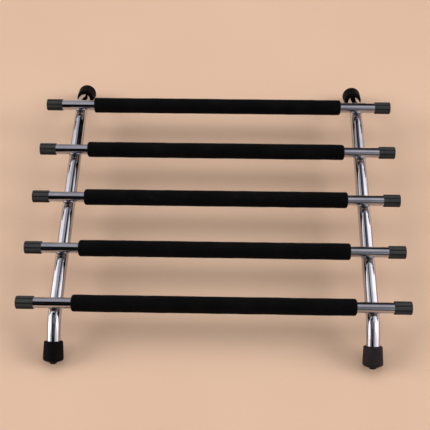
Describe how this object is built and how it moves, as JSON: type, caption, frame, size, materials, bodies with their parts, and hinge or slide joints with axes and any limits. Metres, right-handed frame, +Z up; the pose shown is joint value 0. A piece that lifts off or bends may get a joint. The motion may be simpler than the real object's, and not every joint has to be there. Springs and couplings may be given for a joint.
{
  "type": "trivet",
  "caption": "Low open trivet: foam-padded cross bars with capped ends, welded over bent side tubes that stand on rubber feet, to hold a hot pot off the table.",
  "frame": {"origin": "on the table, under the middle of the trivet", "axes": "+X along the cross bars to the right, -Y towards the front feet, +Z up"},
  "size_m": [0.2848, 0.257, 0.0367],
  "materials": {
    "tube_chrome": "bright chrome plating on bent steel tube",
    "bar_chrome": "bright chrome plating on steel rod",
    "foam": "matt black closed-cell foam rubber skin",
    "cap_rubber": "satin dark grey-green moulded plastic, fluted",
    "foot_rubber": "matt black moulded rubber"
  },
  "bodies": {
    "root": {"side_tube_left": "tube_chrome", "side_tube_right": "tube_chrome", "cross_bar_1": "bar_chrome", "cross_bar_2": "bar_chrome", "cross_bar_3": "bar_chrome", "cross_bar_4": "bar_chrome", "cross_bar_5": "bar_chrome", "foam_sleeve_1": "foam", "foam_sleeve_2": "foam", "foam_sleeve_3": "foam", "foam_sleeve_4": "foam", "foam_sleeve_5": "foam", "end_cap_left_1": "cap_rubber", "end_cap_left_2": "cap_rubber", "end_cap_left_3": "cap_rubber", "end_cap_left_4": "cap_rubber", "end_cap_left_5": "cap_rubber", "end_cap_right_1": "cap_rubber", "end_cap_right_2": "cap_rubber", "end_cap_right_3": "cap_rubber", "end_cap_right_4": "cap_rubber", "end_cap_right_5": "cap_rubber", "foot_front_left": "foot_rubber", "foot_front_right": "foot_rubber", "foot_back_left": "foot_rubber", "foot_back_right": "foot_rubber"}
  },
  "joints": []
}
